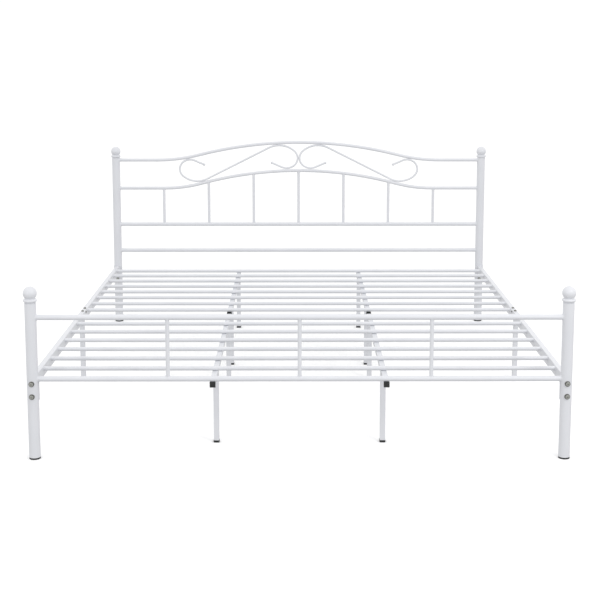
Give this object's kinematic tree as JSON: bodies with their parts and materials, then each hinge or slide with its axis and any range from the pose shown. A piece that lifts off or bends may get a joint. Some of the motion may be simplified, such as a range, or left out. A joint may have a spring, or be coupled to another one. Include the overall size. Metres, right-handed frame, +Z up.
{
  "type": "metal bed frame",
  "caption": "King-size metal bed frame with an arched, scrolled headboard, a low spindle footboard, ball finials and a slat deck on square legs.",
  "frame": {"origin": "centre of the footprint, on the floor", "axes": "+X to the right seen from the footboard, +Y from the footboard to the headboard, +Z up"},
  "size_m": [1.959, 2.13, 0.9613],
  "materials": {
    "white_powder_coat": "satin white powder coat",
    "black_plastic": "matte moulded plastic",
    "zinc_plated_steel": "zinc plated, slightly dull",
    "blackened_steel": "black oxide, slightly worn"
  },
  "bodies": {
    "root": {"corner_bolts": "zinc_plated_steel", "corner_washers": "blackened_steel", "corner_weld_nuts": "zinc_plated_steel", "deck_slats_front": "white_powder_coat", "deck_slats_rear": "white_powder_coat", "footboard_finial_left": "white_powder_coat", "footboard_finial_right": "white_powder_coat", "footboard_lower_rail": "white_powder_coat", "footboard_post_left": "white_powder_coat", "footboard_post_right": "white_powder_coat", "footboard_spindle_1": "white_powder_coat", "footboard_spindle_2": "white_powder_coat", "footboard_spindle_3": "white_powder_coat", "footboard_top_rail": "white_powder_coat", "headboard_finial_left": "white_powder_coat", "headboard_finial_right": "white_powder_coat", "headboard_lower_arch": "white_powder_coat", "headboard_lower_bar": "white_powder_coat", "headboard_post_left": "white_powder_coat", "headboard_post_right": "white_powder_coat", "headboard_scroll_left": "white_powder_coat", "headboard_scroll_right": "white_powder_coat", "headboard_spindle_1": "white_powder_coat", "headboard_spindle_2": "white_powder_coat", "headboard_spindle_3": "white_powder_coat", "headboard_spindle_4": "white_powder_coat", "headboard_spindle_5": "white_powder_coat", "headboard_spindle_6": "white_powder_coat", "headboard_spindle_7": "white_powder_coat", "headboard_top_arch": "white_powder_coat", "headboard_upper_bar": "white_powder_coat", "inner_leg_left_foot": "white_powder_coat", "inner_leg_left_head": "white_powder_coat", "inner_leg_left_joint": "white_powder_coat", "inner_leg_left_middle": "white_powder_coat", "inner_leg_right_foot": "white_powder_coat", "inner_leg_right_head": "white_powder_coat", "inner_leg_right_joint": "white_powder_coat", "inner_leg_right_middle": "white_powder_coat", "inner_rail_caps": "black_plastic", "inner_rail_left_front": "white_powder_coat", "inner_rail_left_rear": "white_powder_coat", "inner_rail_right_front": "white_powder_coat", "inner_rail_right_rear": "white_powder_coat", "joiner_bolts": "blackened_steel", "leg_pads": "black_plastic", "leg_plugs": "black_plastic", "leg_studs": "zinc_plated_steel", "leg_weld_nuts": "zinc_plated_steel", "post_pads": "black_plastic", "rail_brackets": "white_powder_coat", "side_leg_left": "white_powder_coat", "side_leg_right": "white_powder_coat", "joiner_weld_nuts": "zinc_plated_steel", "side_rail_joiners": "white_powder_coat", "side_rail_left_front": "white_powder_coat", "side_rail_left_rear": "white_powder_coat", "side_rail_right_front": "white_powder_coat", "side_rail_right_rear": "white_powder_coat", "joint_lock_screws": "blackened_steel"}
  },
  "joints": []
}
